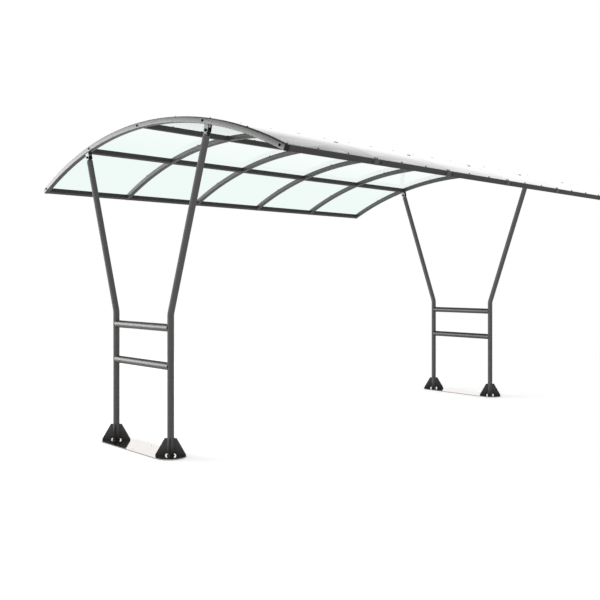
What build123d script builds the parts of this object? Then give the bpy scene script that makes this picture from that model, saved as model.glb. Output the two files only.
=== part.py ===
from build123d import *
import os
from math import asin, atan2, cos, degrees, hypot, radians, sin

# Open bike shelter: an arched clear roof of five bays on two bent-tube supports.
# X runs along the shelter, the front is at -Y and Z points up. The origin is on the
# ground under the middle of the roof. All lengths are in millimetres.

# Roof layout
bay_count = 5
sheet_width = 1025.0
sheet_thickness = 4.0
sheet_gap = 5.0
arch_radius = 4550.0
edge_reach = 1970.0
crown_height = 3022.0

# Square roof tube
tube_width = 50.0
tube_wall = 3.0
tube_corner = 3.5
end_cap_thickness = 3.0

# Bent posts
post_spacing = 934.0
post_diameter = 60.0
post_wall = 3.0
bend_height = 1270.0
bend_radius = 150.0

# Pivot joint between a post and its arch
pivot_reach = 1010.0
pivot_drop = 50.0
pivot_bolt_diameter = 13.0
fork_radius = 29.0
fork_thickness = 8.0
tongue_radius = 25.0
tongue_thickness = 24.0
tongue_reach = 36.0
post_cap_thickness = 6.0

# Cross rails between the posts
rail_diameter = 70.0
rail_wall = 3.0
rail_end_setback = 10.0
upper_rail_height = 1147.0
lower_rail_height = 803.0

# Base plates with their foot fins
plate_width = 290.0
plate_thickness = 10.0
anchor_spacing = 200.0
anchor_hole_diameter = 14.0
fin_thickness = 8.0
fin_height = 157.0
fin_foot_reach = 137.0
fin_top_reach = 53.0
fin_toe_height = 12.0
fin_notch_radius = 20.0
fin_turns = (45, 135, 225, 315)

# Seats and cuts
weld_gap = 0.3
cut_overrun = 5.0

# Places that follow from the sizes
bay_pitch = sheet_width + sheet_gap
half_length = bay_pitch * bay_count / 2
arch_centre_height = crown_height - arch_radius
tube_half = tube_width / 2
tube_bore = tube_width - 2 * tube_wall
edge_angle = degrees(asin(edge_reach / arch_radius))
roof_end_angle = edge_angle + degrees(atan2(tube_half, arch_radius))
rib_end_angle = roof_end_angle - degrees(atan2(end_cap_thickness, arch_radius))
segment_length = bay_pitch - tube_width
post_radius = post_diameter / 2
fork_radius_line = arch_radius - tube_half - pivot_drop
pivot_angle = degrees(asin(pivot_reach / fork_radius_line))
pivot_height = arch_centre_height + fork_radius_line * cos(radians(pivot_angle))
lean_run = pivot_reach - post_spacing / 2
lean_rise = pivot_height - bend_height
lean_length = hypot(lean_run, lean_rise)
post_top_share = 1 - (tongue_reach + post_cap_thickness) / lean_length
post_top_reach = post_spacing / 2 + lean_run * post_top_share
post_top_height = bend_height + lean_rise * post_top_share
arch_axis = Axis((0, 0, arch_centre_height), (1, 0, 0))
support_places = {"left": -half_length, "right": half_length}
post_sides = {"front": -1, "back": 1}
rib_places = [bay_pitch * i - half_length for i in range(bay_count + 1)]
rib_names = ["left_end_arch"] + [f"rib_{i}" for i in range(1, bay_count)] + ["right_end_arch"]


def arch_section(x, angle, rise=0.0):
    """Plane across the arch at an angle behind the crown, with its y pointing out of the roof."""
    turn = radians(angle)
    radius = arch_radius + rise
    origin = (x, radius * sin(turn), arch_centre_height + radius * cos(turn))
    return Plane(origin=origin, x_dir=(1, 0, 0), z_dir=(0, -cos(turn), sin(turn)))


def length_section(x, angle):
    """Plane across a lengthwise tube at a roof angle, turned with the slope of the roof there."""
    origin = arch_section(x, angle).origin
    turn = radians(angle)
    return Plane(origin=origin, x_dir=(0, cos(turn), -sin(turn)), z_dir=(1, 0, 0))


def upright_section(x, reach, height, run, rise):
    """Plane facing along the shelter, with its y along the direction given by run and rise."""
    size = hypot(run, rise)
    return Plane(origin=(x, reach, height), x_dir=(0, rise / size, -run / size), z_dir=(1, 0, 0))


def tube_outline():
    """Outline of the square roof tube, each round corner drawn as one flat."""
    Rectangle(tube_width, tube_width)
    chamfer(vertices(), tube_corner)


os.makedirs("parts", exist_ok=True)

# Arched ribs: one square tube bent to the roof's radius, with a closing cap at each end
for name, x in zip(rib_names, rib_places):
    with BuildPart() as rib:
        with BuildSketch(arch_section(x, rib_end_angle)):
            tube_outline()
            Rectangle(tube_bore, tube_bore, mode=Mode.SUBTRACT)
        revolve(axis=arch_axis, revolution_arc=2 * rib_end_angle)
    rib.part.label = name
    export_step(rib.part, f"parts/{name}.step")

for side, sign in post_sides.items():
    with BuildPart() as end_caps:
        for x in rib_places:
            with BuildSketch(arch_section(x, sign * rib_end_angle)):
                tube_outline()
            extrude(amount=-sign * end_cap_thickness)
    end_caps.part.label = f"{side}_rib_end_caps"
    export_step(end_caps.part, f"parts/{side}_rib_end_caps.step")

# Edge rails and purlins: straight square tubes cut to fit between the ribs, with the side
# purlins over the pivots of the posts
length_angles = {
    "back_edge_rail": edge_angle,
    "back_purlin": pivot_angle,
    "crown_purlin": 0,
    "front_purlin": -pivot_angle,
    "front_edge_rail": -edge_angle,
}
for name, angle in length_angles.items():
    with BuildPart() as length_tube:
        for x in rib_places[:-1]:
            with BuildSketch(length_section(x + tube_half, angle)):
                tube_outline()
                Rectangle(tube_bore, tube_bore, mode=Mode.SUBTRACT)
            extrude(amount=segment_length)
    length_tube.part.label = name
    export_step(length_tube.part, f"parts/{name}.step")

# Roof sheets: one bent clear sheet over each bay, edge to edge on the ribs
for i, x in enumerate(rib_places[:-1]):
    name = f"roof_sheet_{i + 1}"
    sheet_rise = tube_half + weld_gap + sheet_thickness / 2
    with BuildPart() as roof_sheet:
        with BuildSketch(arch_section(x + bay_pitch / 2, roof_end_angle, sheet_rise)):
            Rectangle(sheet_width, sheet_thickness)
        revolve(axis=arch_axis, revolution_arc=2 * roof_end_angle)
    roof_sheet.part.label = name
    export_step(roof_sheet.part, f"parts/{name}.step")

for end, x in support_places.items():
    # Base plate: a long plate with round ends about the posts and six anchor holes
    with BuildPart() as base_plate:
        with BuildSketch(Plane((x, 0, 0))):
            SlotCenterToCenter(post_spacing, plate_width, rotation=90)
            with GridLocations(anchor_spacing, post_spacing / 2, 2, 3):
                Circle(anchor_hole_diameter / 2, mode=Mode.SUBTRACT)
        extrude(amount=plate_thickness)
    base_plate.part.label = f"{end}_base_plate"
    export_step(base_plate.part, f"parts/{end}_base_plate.step")

    # Cross rails: round tubes coped to the posts at both ends
    for name, height in (("upper_rail", upper_rail_height), ("lower_rail", lower_rail_height)):
        rail_half = post_spacing / 2 - rail_end_setback
        with BuildPart() as rail:
            with BuildSketch(Plane((x, -rail_half, height), x_dir=(1, 0, 0), z_dir=(0, 1, 0))):
                Circle(rail_diameter / 2)
                Circle(rail_diameter / 2 - rail_wall, mode=Mode.SUBTRACT)
            extrude(amount=2 * rail_half)
            with Locations((x, -post_spacing / 2, height), (x, post_spacing / 2, height)):
                Cylinder(post_radius + weld_gap, rail_diameter + cut_overrun, mode=Mode.SUBTRACT)
        rail.part.label = f"{end}_{name}"
        export_step(rail.part, f"parts/{end}_{name}.step")

    for side, sign in post_sides.items():
        foot_reach = sign * post_spacing / 2
        foot = (x, foot_reach, plate_thickness)
        top = (x, sign * post_top_reach, post_top_height)

        # Post: a round tube, upright to the bend and leaning out above it
        with BuildPart() as post:
            with BuildLine(Plane.YZ.offset(x)):
                FilletPolyline(
                    (foot_reach, plate_thickness),
                    (foot_reach, bend_height),
                    (sign * post_top_reach, post_top_height),
                    radius=bend_radius,
                )
            with BuildSketch(Plane(foot)):
                Circle(post_radius)
                Circle(post_radius - post_wall, mode=Mode.SUBTRACT)
            sweep()
        post.part.label = f"{end}_{side}_post"
        export_step(post.part, f"parts/{end}_{side}_post.step")

        # Foot fins: four welded stiffeners set diagonally about the post, notched at the weld
        with BuildPart() as fins:
            fin_root = post_radius + weld_gap
            for turn in fin_turns:
                out = (cos(radians(turn)), sin(radians(turn)), 0)
                face = (sin(radians(turn)), -cos(radians(turn)), 0)
                with BuildSketch(Plane(foot, x_dir=out, z_dir=face)):
                    with BuildLine():
                        Polyline(
                            (fin_root + fin_notch_radius, 0),
                            (fin_foot_reach, 0),
                            (fin_foot_reach, fin_toe_height),
                            (fin_top_reach, fin_height),
                            (fin_root, fin_height),
                            (fin_root, fin_notch_radius),
                        )
                        CenterArc((fin_root, 0), fin_notch_radius, 0, 90)
                    make_face()
                extrude(amount=fin_thickness / 2, both=True)
        fins.part.label = f"{end}_{side}_foot_fins"
        export_step(fins.part, f"parts/{end}_{side}_foot_fins.step")

        # Post tongue: a cap on the post's end with one upright plate that carries the pivot bolt
        pivot = (x, sign * pivot_reach, pivot_height)
        tongue_plane = upright_section(*pivot, sign * lean_run, lean_rise)
        with BuildPart() as tongue:
            with BuildSketch(Plane(top, x_dir=(1, 0, 0), z_dir=(0, sign * lean_run, lean_rise))):
                Circle(post_radius)
            extrude(amount=post_cap_thickness)
            with BuildSketch(tongue_plane):
                Circle(tongue_radius)
                with Locations((0, -tongue_reach / 2)):
                    Rectangle(2 * tongue_radius, tongue_reach)
                Circle(pivot_bolt_diameter / 2, mode=Mode.SUBTRACT)
            extrude(amount=tongue_thickness / 2, both=True)
        tongue.part.label = f"{end}_{side}_post_tongue"
        export_step(tongue.part, f"parts/{end}_{side}_post_tongue.step")

        # Arch fork: two plates under the arch that take the tongue between them
        fork_height = pivot_drop - weld_gap
        fork_plane = upright_section(*pivot, sign * pivot_reach, pivot_height - arch_centre_height)
        with BuildPart() as fork:
            for face_sign in (-1, 1):
                fork_face = face_sign * (tongue_thickness / 2 + weld_gap)
                with BuildSketch(fork_plane.offset(fork_face)):
                    Circle(fork_radius)
                    with Locations((0, fork_height / 2)):
                        Rectangle(2 * fork_radius, fork_height)
                    Circle(pivot_bolt_diameter / 2, mode=Mode.SUBTRACT)
                extrude(amount=face_sign * fork_thickness)
        fork.part.label = f"{end}_{side}_arch_fork"
        export_step(fork.part, f"parts/{end}_{side}_arch_fork.step")
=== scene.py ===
import bpy
import numpy as np
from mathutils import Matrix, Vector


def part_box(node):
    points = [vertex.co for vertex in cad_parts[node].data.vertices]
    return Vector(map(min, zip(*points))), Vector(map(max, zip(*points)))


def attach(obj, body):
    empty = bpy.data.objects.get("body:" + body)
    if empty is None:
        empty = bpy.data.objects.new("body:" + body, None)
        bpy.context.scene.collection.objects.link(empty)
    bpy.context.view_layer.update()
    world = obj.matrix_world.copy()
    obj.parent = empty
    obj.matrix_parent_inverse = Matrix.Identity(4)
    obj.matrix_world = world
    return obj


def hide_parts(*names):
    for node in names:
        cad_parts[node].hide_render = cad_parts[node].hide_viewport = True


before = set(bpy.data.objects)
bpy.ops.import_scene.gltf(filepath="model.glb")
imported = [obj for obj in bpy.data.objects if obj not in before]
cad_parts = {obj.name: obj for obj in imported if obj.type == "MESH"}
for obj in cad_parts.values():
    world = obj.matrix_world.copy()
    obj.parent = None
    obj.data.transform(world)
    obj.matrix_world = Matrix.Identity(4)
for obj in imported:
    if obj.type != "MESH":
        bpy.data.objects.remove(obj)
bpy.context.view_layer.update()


# Base plates: one long plate with round ends under each pair of posts, cut from 10 mm
# stainless sheet and polished bright. It lies flat on the ground, and ground anchors go
# through its six plain holes.
ends = ("left", "right")
plate_colours = ("#EBE5E1", "#F5F0ED")
smear_mm = 180
polish_line_mm = 1.5
polish_length_mm = 400
polish_roughness = (0.04, 0.1)
cut_edge_colour = "#A3A19F"
face_range = (0.5, 0.8)


def linear(code):
    """Linear RGBA of an sRGB hex colour: c/12.92 for dark channels, ((c+0.055)/1.055)^2.4 above."""
    srgb = np.array([int(code[i:i + 2], 16) for i in (1, 3, 5)]) / 255
    rgb = np.where(srgb <= 0.04045, srgb / 12.92, ((srgb + 0.055) / 1.055) ** 2.4)
    return (*rgb.tolist(), 1.0)


def add(tree, kind, values=None, links=None, **settings):
    """Adds one node: settings are its properties, values its plain sockets, links its sources."""
    node = tree.nodes.new("ShaderNode" + kind)
    for name, value in settings.items():
        setattr(node, name, value)
    for socket, value in (values or {}).items():
        node.inputs[socket].default_value = value
    for socket, source in (links or {}).items():
        tree.links.new(source, node.inputs[socket])
    return node


def new_material(name, **values):
    """A material with one Principled shader, its plain sockets set from words like base_color."""
    material = bpy.data.materials.new(name)
    material.use_nodes = True
    tree = material.node_tree
    shader = tree.nodes["Principled BSDF"]
    for word, value in values.items():
        socket = word.replace("_", " ").title().replace("Ior", "IOR")
        shader.inputs[socket].default_value = value
    place = add(tree, "TexCoord").outputs["Object"]
    return material, tree, shader, place


def mottle(tree, place, shader, size_mm, colours, roughness=None):
    """Soft patches of about the given size, in which the base colour drifts between two colours
    and the roughness, where a pair is given, between two values."""
    patches = add(tree, "TexNoise", {"Scale": 1000 / size_mm, "Detail": 3.0}, {"Vector": place})
    tones = {"A": linear(colours[0]), "B": linear(colours[1])}
    tone = add(tree, "Mix", tones, {"Factor": patches.outputs["Fac"]}, data_type="RGBA")
    tree.links.new(tone.outputs["Result"], shader.inputs["Base Color"])
    if roughness:
        limits = {"To Min": roughness[0], "To Max": roughness[1]}
        gloss = add(tree, "MapRange", limits, {"Value": patches.outputs["Fac"]})
        tree.links.new(gloss.outputs["Result"], shader.inputs["Roughness"])


def cut_and_shaded_edges(tree, shader, colour, axis):
    """Darkens the edge faces of a plate that lies across one axis: duller cut edges on the stainless
    plates, painted shade on the zinc plates. The plate's face comes in as the normal's part along that
    axis passes through face_range."""
    socket = shader.inputs["Base Color"]
    normal = add(tree, "SeparateXYZ", links={0: add(tree, "TexCoord").outputs["Normal"]})
    flat = add(tree, "Math", links={0: normal.outputs[axis]}, operation="ABSOLUTE")
    limits = {"From Min": face_range[0], "From Max": face_range[1]}
    face = add(tree, "MapRange", limits, {"Value": flat.outputs["Value"]})
    sources = {"Factor": face.outputs["Result"], "B": socket.links[0].from_socket}
    tone = add(tree, "Mix", {"A": linear(colour)}, sources, data_type="RGBA")
    tree.links.new(tone.outputs["Result"], socket)


def dress(material, *nodes):
    """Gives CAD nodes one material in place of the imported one."""
    for name in nodes:
        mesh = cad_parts[name].data
        mesh.materials.clear()
        mesh.materials.append(material)


# Polished stainless steel: mirror bright, with faint smears and fine lines along the polishing
# direction that soften the reflections a little. Its cut edges are duller and darker.
polished_stainless, tree, shader, place = new_material("polished_stainless", metallic=1.0)
mottle(tree, place, shader, smear_mm, plate_colours)
line_scale = (1000 / polish_line_mm, 1000 / polish_length_mm, 1000 / polish_line_mm)
stretched = add(tree, "Mapping", {"Scale": line_scale}, {"Vector": place})
lines = add(tree, "TexNoise", {"Scale": 1.0, "Detail": 2.0}, {"Vector": stretched.outputs["Vector"]})
line_limits = {"To Min": polish_roughness[0], "To Max": polish_roughness[1]}
gloss = add(tree, "MapRange", line_limits, {"Value": lines.outputs["Fac"]})
tree.links.new(gloss.outputs["Result"], shader.inputs["Roughness"])
cut_and_shaded_edges(tree, shader, cut_edge_colour, "Z")
dress(polished_stainless, *[f"{end}_base_plate" for end in ends])


# Posts: four round steel tubes, upright to waist height and bent outwards above it. They stand on
# the base plates and are powder coated in a dark iron-mica grey before they are put up.
post_radius = 0.030
post_spacing = 0.934
bend_height = 1.270
bend_radius = 0.150
pivot_reach = 1.010
pivot_height = 2.8315
post_end_drop = 0.042
post_columns = 64
bend_rows = 24
post_colours = ("#5E5E5D", "#666665")
# Painted shade near the ground: each coat darkens to this colour below this height.
ground_shade_colour = "#1E1E1D"
ground_shade_height = 0.110
coat_drift_mm = 320
flake_mm = 2.5
peel_mm = 3.0
peel_depth = 0.0004
peel_strength = 0.03
along_x, along_y, along_z = np.eye(3)
sides = {"front": -1, "back": 1}
plate_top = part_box("left_base_plate")[1].z
support_places = {end: sum(corner.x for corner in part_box(f"{end}_base_plate")) / 2 for end in ends}
lean = np.arctan2(pivot_reach - post_spacing / 2, pivot_height - bend_height)


def powder_coat(name, colours, gloss_level, roughness, flake_share=0.0):
    """Iron-mica powder coat: a grey that drifts in tone, with a soft orange peel, darker towards the
    ground with painted shade. Its flakes are really about 0.1 mm and are drawn coarser so that they show
    as a faint grain. flake_share is how much of the coat shines as metal."""
    material, tree, shader, place = new_material(
        name, specular_ior_level=gloss_level, metallic=flake_share)
    mottle(tree, place, shader, coat_drift_mm, colours)
    socket = shader.inputs["Base Color"]
    # Painted shade: the colour darkens towards the ground.
    level = add(tree, "SeparateXYZ", links={0: place})
    heights = {"From Min": plate_top, "From Max": ground_shade_height}
    unshaded_share = add(tree, "MapRange", heights, {"Value": level.outputs["Z"]})
    sources = {"Factor": unshaded_share.outputs["Result"], "B": socket.links[0].from_socket}
    tone = add(tree, "Mix", {"A": linear(ground_shade_colour)}, sources, data_type="RGBA")
    tree.links.new(tone.outputs["Result"], socket)
    flakes = add(tree, "TexVoronoi", {"Scale": 1000 / flake_mm}, {"Vector": place})
    limits = {"To Min": roughness[0], "To Max": roughness[1]}
    gloss = add(tree, "MapRange", limits, {"Value": flakes.outputs["Color"]})
    tree.links.new(gloss.outputs["Result"], shader.inputs["Roughness"])
    peel = add(tree, "TexNoise", {"Scale": 1000 / peel_mm, "Detail": 2.0}, {"Vector": place})
    depth = {"Strength": peel_strength, "Distance": peel_depth}
    bump = add(tree, "Bump", depth, {"Height": peel.outputs["Fac"]})
    tree.links.new(bump.outputs["Normal"], shader.inputs["Normal"])
    return material


# Matt coat: an even grey with hardly a highlight, so the round tubes show no bright edge.
matt_coat = powder_coat(
    "matt_iron_mica_powder_coat", post_colours, gloss_level=0.06, roughness=(0.5, 0.58))


def circle(radius, columns):
    """Points of a circle, counter-clockwise: radius times (cos, sin) of evenly spaced turns."""
    turn = 2 * np.pi * np.arange(columns) / columns
    return radius * np.stack([np.cos(turn), np.sin(turn)], -1)


def sweep(profile, path, across, up):
    """Profile carried along a path: path point + profile x times across + profile y times up, with
    across and up given once or for each path point."""
    across, up = [np.broadcast_to(side, path.shape)[:, None] for side in (across, up)]
    return path[:, None] + profile[..., :1] * across + profile[..., 1:] * up


def grid_faces(rows, columns, close_rows=False, first=0):
    """Quads between neighbouring points of a grid whose columns close on themselves."""
    row = np.arange(rows if close_rows else rows - 1)[:, None]
    column = np.arange(columns)[None, :]
    below, above = first + row * columns, first + (row + 1) % rows * columns
    beside = (column + 1) % columns
    corners = [below + column, below + beside, above + beside, above + column]
    return np.stack(corners, -1).reshape(-1, 4).tolist()


def rod_faces(rows, columns, first=0):
    """Quads of a swept rod, with one flat face over each end."""
    start = first + np.arange(columns)
    stop = start + (rows - 1) * columns
    return grid_faces(rows, columns, first=first) + [start[::-1].tolist(), stop.tolist()]


def lay(name, points, faces, *materials, slot=None, face_materials=None, crease=35):
    """Puts computed points and faces into an object at the origin that rides on the shelter."""
    mesh = bpy.data.meshes.new(name)
    mesh.from_pydata(np.reshape(points, (-1, 3)).tolist(), [], faces)
    for material in materials:
        mesh.materials.append(material)
    mesh.polygons.foreach_set("use_smooth", np.ones(len(mesh.polygons), bool))
    if face_materials is not None:
        mesh.polygons.foreach_set("material_index", np.asarray(face_materials, np.int32))
    mesh.set_sharp_from_angle(angle=np.radians(crease))
    mesh.update()
    piece = bpy.data.objects.new(name, mesh)
    bpy.context.scene.collection.objects.link(piece)
    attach(piece, "root")
    return piece


turn = np.concatenate([[0], np.linspace(0, lean, bend_rows), [lean]])
bend_start = bend_height - bend_radius * np.tan(lean / 2)
reach = post_spacing / 2 + bend_radius * (1 - np.cos(turn))
height = bend_start + bend_radius * np.sin(turn)
reach[-1] = pivot_reach - post_end_drop * np.sin(lean)
height[0] = plate_top
height[-1] = pivot_height - post_end_drop * np.cos(lean)
post_profile = circle(post_radius, post_columns)
post_faces = rod_faces(len(turn), post_columns)
for end, x in support_places.items():
    for side, sign in sides.items():
        name = f"{end}_{side}_post"
        path = np.stack([np.full_like(turn, x), sign * reach, height], -1)
        up = np.stack([0 * turn, np.cos(turn), -sign * np.sin(turn)], -1)
        points = sweep(post_profile, path, along_x, up)
        post = lay(f"{name}_tube", points, post_faces, matt_coat, slot="frame_paint")
        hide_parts(name)


# Foot fins: four plate stiffeners set diagonally about each post, cut from 8 mm steel with a
# round notch over the weld, fillet welded to the post and to the base plate and coated with them.
fin_thickness = 0.008
fin_height = 0.157
fin_foot_reach = 0.137
fin_notch_radius = 0.020
fin_turns = np.radians([45, 135, 225, 315])
# Painted shade: the fins get a darker grey than the posts they are coated with.
fin_shaded_colours = ("#404040", "#464645")
weld_radius = 0.0032
foot_weld_radius = 0.006
ripple_pitch = 0.005
ripple_share = 0.14
bead_step = 0.0018
bead_end_power = 16
bead_end_least = 0.05
bead_columns = 8
foot_weld_rows = 110

# Satin coat on the fins: darker than the posts' with painted shade, with a soft gleam where a plate turns
# to the light.
fin_coat = powder_coat(
    "fin_iron_mica_powder_coat", fin_shaded_colours, gloss_level=0.3, roughness=(0.34, 0.4))
dress(fin_coat, *[f"{end}_{side}_foot_fins" for end in ends for side in sides])


def bead(start, stop, across, up):
    """Straight weld bead: a thin rod whose radius ripples with a sine and closes in at both ends, as
    the root of 1 - u^bead_end_power, where u runs from -1 to 1 along the bead."""
    length = np.linalg.norm(stop - start)
    share = np.linspace(0, 1, int(length / bead_step) + 2)[:, None]
    ripple = 1 + ripple_share * np.sin(2 * np.pi * share * length / ripple_pitch)
    closing = np.maximum(1 - (2 * share - 1) ** bead_end_power, bead_end_least) ** 0.5
    profile = (weld_radius * ripple * closing)[..., None] * circle(1.0, bead_columns)
    return sweep(profile, start + share * (stop - start), across, up)


def ring_bead(path, across, up, radius):
    """Weld bead round a closed path: a thin ring whose radius ripples with a sine."""
    laps = np.linspace(0, 1, len(path), endpoint=False)
    length = np.linalg.norm(path - np.roll(path, 1, 0), axis=1).sum()
    ripple = 1 + ripple_share * np.sin(2 * np.pi * laps * round(length / ripple_pitch))
    profile = radius * ripple[:, None, None] * circle(1.0, bead_columns)
    return sweep(profile, path, across, up)


def join(shapes, close_rows=False):
    """Several swept grids as one list of points and one of faces, as rods or as closed rings."""
    points = np.concatenate([shape.reshape(-1, 3) for shape in shapes])
    faces = []
    first = 0
    for shape in shapes:
        rows, columns = shape.shape[:2]
        faces += grid_faces(rows, columns, True, first) if close_rows else rod_faces(rows, columns, first)
        first += rows * columns
    return points, faces


fin_beads = []
foot_beads = []
ring_turn = np.linspace(0, 2 * np.pi, foot_weld_rows, endpoint=False)
spokes = np.stack([np.cos(ring_turn), np.sin(ring_turn), 0 * ring_turn], -1)
for x in support_places.values():
    for sign in sides.values():
        foot = np.array([x, sign * post_spacing / 2, plate_top])
        foot_beads.append(ring_bead(foot + post_radius * spokes, along_z, spokes, foot_weld_radius))
        for fin_turn in fin_turns:
            out = np.array([np.cos(fin_turn), np.sin(fin_turn), 0])
            aside = np.array([-np.sin(fin_turn), np.cos(fin_turn), 0])
            for face in (-1, 1):
                root = foot + face * aside * fin_thickness / 2
                low = root + out * post_radius + along_z * fin_notch_radius
                high = root + out * post_radius + along_z * fin_height
                near = root + out * (post_radius + fin_notch_radius)
                far = root + out * fin_foot_reach
                fin_beads += [bead(low, high, out, aside), bead(near, far, aside, along_z)]
lay("fin_welds", *join(fin_beads), fin_coat, slot="frame_paint")
lay("post_foot_welds", *join(foot_beads, close_rows=True), fin_coat, slot="frame_paint")


# Cross rails: two round tubes between the posts of each support, wider than the posts, so their
# coped ends wrap round them. They are welded all round the cope and coated with the posts.
rail_radius = 0.035
rail_wall = 0.003
rail_end_setback = 0.010
rail_weld_radius = 0.0025
rail_columns = 96
rail_colours = ("#525251", "#5A5A59")
seat_gap = 0.0003
around = 2 * np.pi * np.arange(rail_columns) / rail_columns


def coped_end(radius):
    """How far a coped tube stops short of the post axis: the post's surface above each point."""
    chord = (post_radius + seat_gap) ** 2 - (radius * np.cos(around)) ** 2
    return np.sqrt(np.maximum(chord, rail_end_setback ** 2))


# Satin coat dense with flakes: it shines as a dull metal, with a broad streak along each tube.
satin_coat = powder_coat(
    "satin_iron_mica_powder_coat", rail_colours, gloss_level=0.5, roughness=(0.42, 0.48), flake_share=1.0)
rail_bore = rail_radius - rail_wall
rail_loops = ((rail_radius, -1), (rail_radius, 1), (rail_bore, 1), (rail_bore, -1))
rail_faces = grid_faces(len(rail_loops), rail_columns, close_rows=True)
spokes = np.stack([np.cos(around), 0 * around, np.sin(around)], -1)
cope_beads = []
for end, x in support_places.items():
    for rail in ("upper", "lower"):
        name = f"{end}_{rail}_rail"
        height = sum(corner.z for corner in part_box(name)) / 2
        middle = np.array([x, 0, height])
        loops = []
        for radius, sign in rail_loops:
            reach = sign * (post_spacing / 2 - coped_end(radius))
            loops.append(middle + radius * spokes + reach[:, None] * along_y)
        points = np.stack(loops)[:, ::-1]
        tube = lay(f"{name}_tube", points, rail_faces, satin_coat, slot="frame_paint")
        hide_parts(name)
        cope_beads += [ring_bead(loop, spokes, along_y, rail_weld_radius) for loop in loops[:2]]
lay("rail_welds", *join(cope_beads, close_rows=True), satin_coat, slot="frame_paint")


# Pivot joints: under each arch a fork of two zinc-plated plates takes the tongue on top of the post,
# and one black bolt with washers and a nut goes through all three and lets the roof be levelled.
arch_radius = 4.550
arch_centre_height = -1.528
tube_half = 0.025
fork_face = 0.0203
fork_radius = 0.029
washer_radius = 0.014
washer_thickness = 0.0025
washer_round = 0.0008
head_half_flat = 0.0095
head_height = 0.008
nut_height = 0.010
head_chamfer_share = 0.18
head_top_share = 0.6
bolt_tip_radius = 0.006
bolt_tip_height = 0.004
bolt_columns = 36
zinc_colours = ("#525455", "#5C5D5E")
zinc_roughness = (0.3, 0.42)
bloom_mm = 14
# Painted shade on the edge faces of the zinc plates.
edge_shade_colour = "#2B2A29"
oxide_colours = ("#0B0B0B", "#141414")
oxide_roughness = (0.5, 0.35)
scuff_mm = 6
arch_axis = arch_centre_height * along_z

# Zinc plating: a dull bright metal with cloudy patches left by the passivating bath. The plates' edge
# faces are dark with painted shade.
zinc_plate, tree, shader, place = new_material("zinc_plated_steel", metallic=1.0)
mottle(tree, place, shader, bloom_mm, zinc_colours, zinc_roughness)
cut_and_shaded_edges(tree, shader, edge_shade_colour, "X")
for end in ends:
    for side in sides:
        dress(zinc_plate, f"{end}_{side}_arch_fork", f"{end}_{side}_post_tongue")

# Black oxide steel: nearly black, with worn patches that shine a little more.
black_steel, tree, shader, place = new_material("black_oxide_steel", specular_ior_level=0.08)
mottle(tree, place, shader, scuff_mm, oxide_colours, oxide_roughness)


def roof_out(angle):
    """Direction out of the roof at an angle behind the crown: (0, sin, cos)."""
    return np.stack([0 * angle, np.sin(angle), np.cos(angle)], -1)


def roof_along(angle):
    """Direction backwards along the roof's curve at an angle behind the crown: (0, cos, -sin)."""
    return np.stack([0 * angle, np.cos(angle), -np.sin(angle)], -1)


def turned(outline, columns):
    """Turned shape from rings of (radius, height, hexagon share): the share of each ring that is a
    hexagon has radius / cos(turn from the middle of its flat), the rest is round."""
    radius, height, hexagon = np.asarray(outline, float).T[..., None]
    turn = 2 * np.pi * np.arange(columns) / columns
    flat = 1 / np.cos((turn + np.pi / 6) % (np.pi / 3) - np.pi / 6)
    reach = radius * (1 + hexagon * (flat - 1))
    return np.stack([reach * np.cos(turn), reach * np.sin(turn), height + 0 * turn], -1)


def hexagon_head(tall):
    """Rings of a hexagon head or nut with a chamfered top, on a flat washer with rounded rims."""
    inner = washer_radius - washer_round
    top = washer_thickness + tall
    return [
        (inner, 0, 0),
        (washer_radius, washer_round, 0),
        (washer_radius, washer_thickness - washer_round, 0),
        (inner, washer_thickness, 0),
        (head_half_flat, washer_thickness, 1),
        (head_half_flat, top - head_chamfer_share * head_half_flat, 1),
        (head_half_flat, top, 0),
        (head_half_flat * head_top_share, top, 0),
    ]


def copies(shape, turns, places):
    """One small grid of points, turned by each 3x3 turn and moved to each place."""
    return [shape @ turn.T + place for turn, place in zip(turns, places)]


def facing_x(sign):
    """Turn that points a shape's height along X, one way or the other."""
    return np.array([[0, 0, sign], [0, 1, 0], [-sign, 0, 0]], float)


bolt_tip = (bolt_tip_radius, washer_thickness + nut_height + bolt_tip_height, 0)
pivot_bolt = turned(hexagon_head(head_height), bolt_columns)
pivot_nut = turned(hexagon_head(nut_height) + [bolt_tip], bolt_columns)
pivot_parts = []
fork_beads = []
for x in support_places.values():
    outwards = np.sign(x)
    for sign in sides.values():
        pivot = np.array([x, sign * pivot_reach, pivot_height])
        to_face = outwards * fork_face * along_x
        pivot_parts += copies(pivot_bolt, [facing_x(outwards)], [pivot + to_face])
        pivot_parts += copies(pivot_nut, [facing_x(-outwards)], [pivot - to_face])
        tip = np.arctan2(sign * pivot_reach, pivot_height - arch_centre_height)
        seat = arch_axis + x * along_x + (arch_radius - tube_half) * roof_out(tip)
        half_run = fork_radius * roof_along(tip)
        for face in (-1, 1):
            middle = seat + face * fork_face * along_x
            fork_beads.append(bead(middle - half_run, middle + half_run, roof_out(tip), along_x))
lay("pivot_bolts", *join(pivot_parts), black_steel)
lay("fork_welds", *join(fork_beads), matt_coat, slot="frame_paint")


# Arches and ribs: six square steel tubes rolled to one radius across the shelter. The two end arches
# stand on the posts, with the satin coat on their outward faces, and the four ribs hang between the
# lengthwise tubes. Their other faces have a duller coat, darkened with painted shade.
edge_reach = 1.970
cap_thickness = 0.003
corner_radius = 0.006
corner_rows = 6
rib_rows = 121
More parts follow.
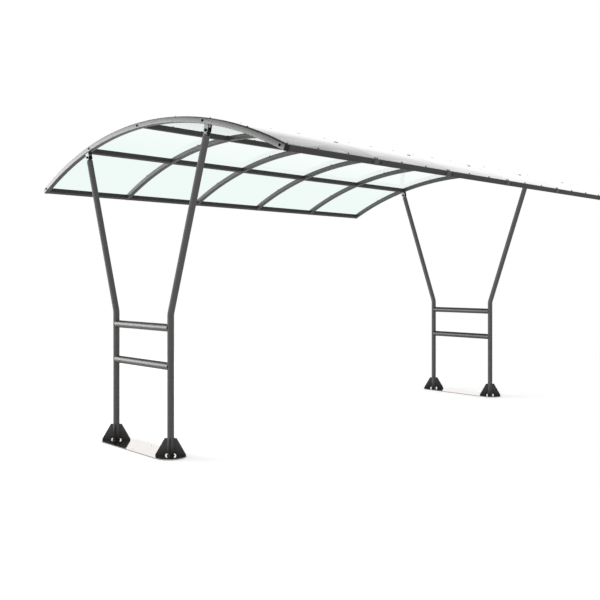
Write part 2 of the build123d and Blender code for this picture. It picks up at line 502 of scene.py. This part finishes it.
# Painted shade: the tubes under the roof get a darker grey than the posts.
rib_shaded_colours = ("#444443", "#4A4A49")
edge_angle = np.arcsin(edge_reach / arch_radius)
roof_end_angle = edge_angle + np.arctan2(tube_half, arch_radius)
rib_end_angle = roof_end_angle - np.arctan2(cap_thickness, arch_radius)
rib_names = ["left_end_arch", "rib_1", "rib_2", "rib_3", "rib_4", "right_end_arch"]
rib_places = np.array([sum(corner.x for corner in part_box(name)) / 2 for name in rib_names])


def rounded_square(half, radius, rows):
    """Square outline with round corners: four quarter arcs, each about its own corner centre."""
    turn = np.radians(90 * np.arange(4)[:, None] + np.linspace(0, 90, rows))
    centre = (half - radius) * np.array([[1, 1], [-1, 1], [-1, -1], [1, -1]])[:, None]
    return (centre + radius * np.stack([np.cos(turn), np.sin(turn)], -1)).reshape(-1, 2)


# Duller coat under the roof: darker than the posts' with painted shade, with a soft sheen that fades
# along the curve.
rib_coat = powder_coat(
    "rib_iron_mica_powder_coat", rib_shaded_colours, gloss_level=0.17, roughness=(0.36, 0.42))
tube_profile = rounded_square(tube_half, corner_radius, corner_rows)
side_middle = (tube_profile[:, 0] + np.roll(tube_profile[:, 0], -1)) / 2
outward_face = tube_half - corner_radius / 3
rib_turn = np.linspace(rib_end_angle, -rib_end_angle, rib_rows)
rib_faces = rod_faces(rib_rows, len(tube_profile))
for name, x in zip(rib_names, rib_places):
    path = arch_axis + x * along_x + arch_radius * roof_out(rib_turn)
    points = sweep(tube_profile, path, along_x, roof_out(rib_turn))
    outwards = np.sign(x) if name.endswith("arch") else 0
    satin = outwards * side_middle > outward_face
    coats = np.concatenate([np.tile(satin, rib_rows - 1), [0, 0]])
    rib = lay(f"{name}_tube", points, rib_faces, rib_coat, satin_coat,
              slot="frame_paint", face_materials=coats)
    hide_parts(name)


# Edge rails and purlins: square tubes cut to fit between the ribs and turned with the slope of the
# roof. They are bolted on from inside the tubes and leave a fine joint line at each rib.
pivot_drop = 0.050
joint_line = 0.0004
pivot_angle = np.arcsin(pivot_reach / (arch_radius - tube_half - pivot_drop))
length_angles = {
    "back_edge_rail": edge_angle,
    "back_purlin": pivot_angle,
    "crown_purlin": 0.0,
    "front_purlin": -pivot_angle,
    "front_edge_rail": -edge_angle,
}

# Matt coat on the long tubes: the ribs' grey, darkened with painted shade, with almost no sheen.
purlin_coat = powder_coat(
    "purlin_iron_mica_powder_coat", rib_shaded_colours, gloss_level=0.12, roughness=(0.5, 0.58))
for name, angle in length_angles.items():
    segments = []
    for left, right in zip(rib_places[:-1], rib_places[1:]):
        stops = np.array([right - tube_half - joint_line, left + tube_half + joint_line])
        path = arch_axis + arch_radius * roof_out(angle) + stops[:, None] * along_x
        segments.append(sweep(tube_profile, path, roof_along(angle), roof_out(angle)))
    rail = lay(f"{name}_tubes", *join(segments), purlin_coat, slot="frame_paint")
    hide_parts(name)


# Tube end caps: the ends of the ribs are closed by coated steel plates at both eaves, and those of the
# two end arches, which stay in view, by moulded black plastic caps.
cap_bevel = 0.001
cap_colours = ("#0C0C0C", "#131313")
cap_haze_mm = 20

# Moulded polyamide: black with a dull skin that is a little hazy in places.
black_plastic, tree, shader, place = new_material(
    "moulded_black_polyamide", roughness=0.5, specular_ior_level=0.2)
mottle(tree, place, shader, cap_haze_mm, cap_colours)
cap_rows = np.array([0, cap_thickness - cap_bevel, cap_thickness])
cap_profile = np.stack([tube_profile, tube_profile, tube_profile * (1 - cap_bevel / tube_half)])
for side, sign in sides.items():
    node = f"{side}_rib_end_caps"
    out = roof_out(sign * rib_end_angle)
    away = sign * roof_along(sign * rib_end_angle)
    caps = []
    for x in rib_places:
        path = arch_axis + x * along_x + arch_radius * out + cap_rows[:, None] * away
        caps.append(sweep(cap_profile, path, -sign * along_x, out))
    arch_caps = lay(f"{side}_arch_caps", *join([caps[0], caps[-1]]), black_plastic, slot="end_cap")
    rib_caps = lay(f"{side}_rib_plates", *join(caps[1:-1]), satin_coat, slot="frame_paint")
    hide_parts(node)
    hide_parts(node)


# Roof sheets: one clear polycarbonate sheet over each bay, bent cold over the ribs, 4 mm thick with
# a gloss upper face and a faint green tint. They meet on the ribs with a narrow gap.
sheet_thickness = 0.004
sheet_bevel = 0.0005
sheet_rows = 161
sheet_crease = 20
sheet_ior = 1.58
clear_colour = "#FFFFFF"
sheet_tint = "#F0FAF7"
# Painted reflection: the sheet's tint pales to this colour at a low angle.
painted_glare_tint = "#F8FEFC"
fade_range = (0.36, 0.6)
sheet_roughness = 0.03
sawn_colours = ("#4A524F", "#5A6460")
sawn_mm = 8


def sheet_material(name, tint, painted_glare_tint, gloss_share, gloss_start, gloss_full):
    """Clear face with a mirror over it. One face reflects a share F, by Fresnel, and both faces send back
    1 - (1 - F)^2. While that grows from gloss_start to gloss_full, the mirror's share grows from 0 to
    gloss_share, and over fade_range the tint gives way to the paler grazing tint, a painted reflection.
    From inside the sheet there is only the tint."""
    material, tree, shader = new_material(
        name, base_color=linear(clear_colour), roughness=sheet_roughness, metallic=1.0)[:3]
    inside = add(tree, "NewGeometry").outputs["Backfacing"]
    outside = add(tree, "Math", {0: 1.0}, {1: inside}, operation="SUBTRACT").outputs["Value"]
    fresnel = add(tree, "LayerWeight", {"Blend": 1 - 1 / sheet_ior}).outputs["Fresnel"]
    past_one = add(tree, "Math", {0: 1.0}, {1: fresnel}, operation="SUBTRACT").outputs["Value"]
    past_both = add(tree, "Math", {1: 2.0}, {0: past_one}, operation="POWER").outputs["Value"]
    limits = {"From Min": 1 - gloss_start, "From Max": 1 - gloss_full, "To Max": gloss_share}
    gloss = add(tree, "MapRange", limits, {"Value": past_both}).outputs["Result"]
    mirror = add(tree, "Math", links={0: gloss, 1: outside}, operation="MULTIPLY").outputs["Value"]
    limits = {"From Min": 1 - fade_range[0], "From Max": 1 - fade_range[1]}
    fade = add(tree, "MapRange", limits, {"Value": past_both}).outputs["Result"]
    pale = add(tree, "Math", links={0: fade, 1: outside}, operation="MULTIPLY").outputs["Value"]
    tints = {"A": linear(tint), "B": linear(painted_glare_tint)}
    hue = add(tree, "Mix", tints, {"Factor": pale}, data_type="RGBA").outputs["Result"]
    through = add(tree, "BsdfTransparent", links={"Color": hue}).outputs["BSDF"]
    blend = add(tree, "MixShader", links={0: mirror, 1: through, 2: shader.outputs["BSDF"]})
    tree.links.new(blend.outputs["Shader"], tree.nodes["Material Output"].inputs["Surface"])
    return material


# Gloss upper face: clear from straight on, and a white mirror of the sky at a low angle.
sheet_upper = sheet_material(
    "clear_polycarbonate_gloss_face", clear_colour, clear_colour,
    gloss_share=1.0, gloss_start=0.0, gloss_full=0.87)

# Lower face: carries the green tint, which pales at a low angle with a painted reflection, under a weak
# real reflection.
sheet_under = sheet_material(
    "clear_polycarbonate_lower_face", sheet_tint, painted_glare_tint,
    gloss_share=0.3, gloss_start=0.36, gloss_full=1.0)

# Sawn edge: dull and dark grey-green, because the saw's marks scatter the light inside the sheet.
sheet_edge, tree, shader, place = new_material("sawn_polycarbonate_edge", roughness=0.5, ior=sheet_ior)
mottle(tree, place, shader, sawn_mm, sawn_colours)
upper, under, edge = range(3)
side_faces = [edge, edge, edge, upper, edge, edge, edge, under]
face_kinds = np.concatenate([np.tile(side_faces, sheet_rows - 1), [edge, edge]])
sheet_faces = rod_faces(sheet_rows, len(side_faces))
sheet_turn = np.linspace(roof_end_angle, -roof_end_angle, sheet_rows)
sheet_low = tube_half + seat_gap
for bay in range(1, len(rib_names)):
    name = f"roof_sheet_{bay}"
    low, high = (corner.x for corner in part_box(name))
    half = (high - low) / 2
    inner = half - sheet_bevel
    bevel_top = sheet_thickness - sheet_bevel
    right_side = [(inner, 0), (half, sheet_bevel), (half, bevel_top), (inner, sheet_thickness)]
    left_side = [(-inner, sheet_thickness), (-half, bevel_top), (-half, sheet_bevel), (-inner, 0)]
    path = arch_axis + (low + high) / 2 * along_x + (arch_radius + sheet_low) * roof_out(sheet_turn)
    points = sweep(np.array(right_side + left_side), path, along_x, roof_out(sheet_turn))
    sheet = lay(f"{name}_pane", points, sheet_faces, sheet_upper, sheet_under, sheet_edge,
                slot="roof_sheet", face_materials=face_kinds, crease=sheet_crease)
    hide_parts(name)


# Sheet screws: self-drilling steel screws with a hexagon head on a rubber sealing washer, driven
# through the sheets into the tubes below, in pairs at the ribs and at thirds of each bay.
screw_edge_offset = 0.013
seal_radius = 0.009
seal_height = 0.002
seal_side_share = 0.6
disc_top_share = 0.8
screw_half_flat = 0.004
screw_head_height = 0.0045
screw_chamfer = 0.001
screw_top_share = 0.75
screw_columns = 12
screw_colours = ("#7C7E80", "#8E9092")
screw_dull_mm = 5
rubber_colours = ("#4A4B4B", "#565757")
rubber_mm = 4

# Screw steel: a pale dull metal, a little blotched.
screw_steel, tree, shader, place = new_material("dull_screw_steel", metallic=1.0, roughness=0.45)
mottle(tree, place, shader, screw_dull_mm, screw_colours)

# Sealing rubber: mid grey and quite dull.
rubber, tree, shader, place = new_material("sealing_washer_rubber", roughness=0.8)
mottle(tree, place, shader, rubber_mm, rubber_colours)


def disc(radius, tall, side_share):
    """Rings of a small disc: an upright side up to a share of its height, then drawn in to its top."""
    return [(radius, 0, 0), (radius, tall * side_share, 0), (radius * disc_top_share, tall, 0)]


def tilted(angles):
    """Turns about X that point a shape's height out of the roof at each angle behind the crown."""
    across = np.tile(along_x, (len(angles), 1))
    return np.stack([across, roof_along(angles), roof_out(angles)], -1)


line_angles = np.array(sorted(length_angles.values()))
mid_angles = (line_angles[1:] + line_angles[:-1]) / 2
beside_ribs = np.concatenate([rib_places[:-1] + screw_edge_offset, rib_places[1:] - screw_edge_offset])
bay_width = np.diff(rib_places)[0]
bay_thirds = np.add.outer(rib_places[:-1], bay_width * np.array([1, 2]) / 3).ravel()
on_lines = np.meshgrid(np.concatenate([beside_ribs, bay_thirds]), line_angles)
on_ribs = np.meshgrid(beside_ribs, mid_angles)
screw_x, screw_angle = np.concatenate([np.reshape(on_lines, (2, -1)), np.reshape(on_ribs, (2, -1))], 1)
screw_seat = arch_radius + sheet_low + sheet_thickness
screw_places = arch_axis + screw_x[:, None] * along_x + screw_seat * roof_out(screw_angle)
screw_top = seal_height + screw_head_height
seal = turned(disc(seal_radius, seal_height, seal_side_share), screw_columns)
head = turned([
    (screw_half_flat, seal_height, 1),
    (screw_half_flat, screw_top - screw_chamfer, 1),
    (screw_half_flat * screw_top_share, screw_top, 0),
], screw_columns)
lay("sheet_screw_seals", *join(copies(seal, tilted(screw_angle), screw_places)), rubber)
lay("sheet_screw_heads", *join(copies(head, tilted(screw_angle), screw_places)), screw_steel)


# Arch bolts and hole plugs: black button-head bolts fix the lengthwise tubes through the outer face
# of each end arch, and black plastic plugs close the access holes in the eaves rails beside the ribs.
arch_bolt_angles = np.radians([-25.2, -12.3, 0.66, 12.3, 25.2])
button_radius = 0.0110
button_height = 0.0085
button_rim = 0.001
button_columns = 24
dome_turn = np.radians([0, 25, 50, 72, 86])
plug_offset = 0.055
plug_radius = 0.0105
plug_height = 0.0015
plug_side_share = 0.5
plug_columns = 16

rim_radius = button_radius + button_rim
rim = [(rim_radius, 0, 0), (rim_radius, button_rim, 0)]
dome_radius = button_radius * np.cos(dome_turn)
dome_height = button_rim + button_height * np.sin(dome_turn)
dome = np.stack([dome_radius, dome_height, 0 * dome_turn], -1)
arch_bolt = turned(np.concatenate([rim, dome]), button_columns)
arch_bolts = []
for x in support_places.values():
    outwards = np.sign(x)
    places = arch_axis + (x + outwards * tube_half) * along_x + arch_radius * roof_out(arch_bolt_angles)
    arch_bolts += copies(arch_bolt, [facing_x(outwards)] * len(places), places)
lay("arch_bolts", *join(arch_bolts), black_steel)

plug = turned(disc(plug_radius, plug_height, plug_side_share), plug_columns)
plug_x = np.add.outer(rib_places[1:-1], plug_offset * np.array([-1, 1])).ravel()
plugs = []
for sign in sides.values():
    angle = sign * edge_angle
    middle = arch_axis + arch_radius * roof_out(angle) + sign * tube_half * roof_along(angle)
    places = middle + plug_x[:, None] * along_x
    plugs += copies(plug, tilted(np.full(len(plug_x), angle + sign * np.pi / 2)), places)
lay("rail_hole_plugs", *join(plugs), black_plastic, slot="end_cap")


# Studio: a white paper floor that fades into a white surround under a dimmer ceiling. A large
# softbox and a low side panel stand off the back left, as for a plain product photograph.
white = linear("#FFFFFF")
backdrop_top = np.sin(np.radians(17))
ceiling_start = np.sin(np.radians(28))
ceiling_level = 0.36
scene = bpy.context.scene
scene.view_settings.view_transform = "Standard"
world = bpy.data.worlds.new("white_studio")
scene.world = world
world.use_nodes = True
tree = world.node_tree
direction = add(tree, "SeparateXYZ", links={0: add(tree, "TexCoord").outputs["Generated"]})
rise = {"From Min": backdrop_top, "From Max": ceiling_start, "To Min": 1.0, "To Max": ceiling_level}
surround = add(tree, "MapRange", rise, {"Value": direction.outputs["Z"]}).outputs["Result"]
ray = add(tree, "LightPath").outputs
straight = {0: ray["Is Camera Ray"], 1: ray["Is Transmission Ray"]}
seen = add(tree, "Math", links=straight, operation="MAXIMUM").outputs["Value"]
level = add(tree, "Math", links={0: surround, 1: seen}, operation="MAXIMUM").outputs["Value"]
background = tree.nodes["Background"]
background.inputs["Color"].default_value = white
tree.links.new(level, background.inputs["Strength"])

# White paper: matt, lifted to plain white for the eye and in reflections, so that only the shadow
# shows on it. Far from the shelter it turns into the white of the surround.
paper_colour = "#FAFAFA"
floor_reach = 80.0
floor_lift = 0.52
white_start = 5.0
white_end = 12.0
paper, tree, shader, place = new_material(
    "white_paper_floor", base_color=linear(paper_colour), emission_color=white,
    roughness=0.9, specular_ior_level=0.0)
ray = add(tree, "LightPath").outputs
bounced = {0: ray["Is Glossy Ray"], 1: ray["Is Transmission Ray"]}
bent = add(tree, "Math", links=bounced, operation="MAXIMUM").outputs["Value"]
seen = add(tree, "Math", links={0: ray["Is Camera Ray"], 1: bent}, operation="MAXIMUM").outputs["Value"]
lift = add(tree, "Math", {1: floor_lift}, {0: seen}, operation="MULTIPLY").outputs["Value"]
tree.links.new(lift, shader.inputs["Emission Strength"])
away = add(tree, "VectorMath", links={0: place}, operation="LENGTH").outputs["Value"]
limits = {"From Min": white_start, "From Max": white_end}
fade = add(tree, "MapRange", limits, {"Value": away}, interpolation_type="SMOOTHSTEP").outputs["Result"]
glow = add(tree, "Emission", {"Strength": 1.0}).outputs["Emission"]
blend = add(tree, "MixShader", links={0: fade, 1: shader.outputs["BSDF"], 2: glow})
tree.links.new(blend.outputs["Shader"], tree.nodes["Material Output"].inputs["Surface"])
floor_mesh = bpy.data.meshes.new("studio_floor")
floor_corners = floor_reach * np.array([(-1, -1, 0), (1, -1, 0), (1, 1, 0), (-1, 1, 0)])
floor_mesh.from_pydata(floor_corners.tolist(), [], [(0, 1, 2, 3)])
floor_mesh.materials.append(paper)
floor = bpy.data.objects.new("studio_floor", floor_mesh)
scene.collection.objects.link(floor)

# Lamps: each stands upright at a bearing and distance from the shelter and faces it. An area lamp's
# power is 4 times its radiance times its area.
power_factor = 4
panels = {
    "key_softbox": dict(bearing=124, distance=13.0, height=3.0, wide=8.5, tall=6.0, radiance=5.5),
    "side_panel": dict(bearing=147, distance=13.0, height=0.9, wide=7.0, tall=1.8, radiance=4.0),
}
for name, panel in panels.items():
    bearing = np.radians(panel["bearing"])
    lamp = bpy.data.lights.new(name, "AREA")
    lamp.shape = "RECTANGLE"
    lamp.size = panel["wide"]
    lamp.size_y = panel["tall"]
    lamp.energy = power_factor * panel["radiance"] * panel["wide"] * panel["tall"]
    stand = bpy.data.objects.new(name, lamp)
    out = panel["distance"]
    stand.location = (out * np.cos(bearing), out * np.sin(bearing), panel["height"])
    stand.rotation_euler = (np.pi / 2, 0, bearing + np.pi / 2)
    scene.collection.objects.link(stand)


# Camera: level, at eye height, off the front left corner, with the horizon a little above the middle.
# The lens and shift are worked out from a focal length and a horizon in pixels of the square frame.
camera_place = (-6.462, -6.207, 1.583)
heading = np.radians(46.33)
focal_px = 767.5
frame_px = 600
horizon_px = 279.05
sensor_mm = 36.0
camera_data = bpy.data.cameras.new("camera")
camera_data.sensor_width = sensor_mm
camera_data.lens = focal_px / frame_px * sensor_mm
camera_data.shift_y = (horizon_px - frame_px / 2) / frame_px
camera = bpy.data.objects.new("camera", camera_data)
camera.location = camera_place
camera.rotation_euler = (np.pi / 2, 0, heading - np.pi / 2)
scene.collection.objects.link(camera)
scene.camera = camera
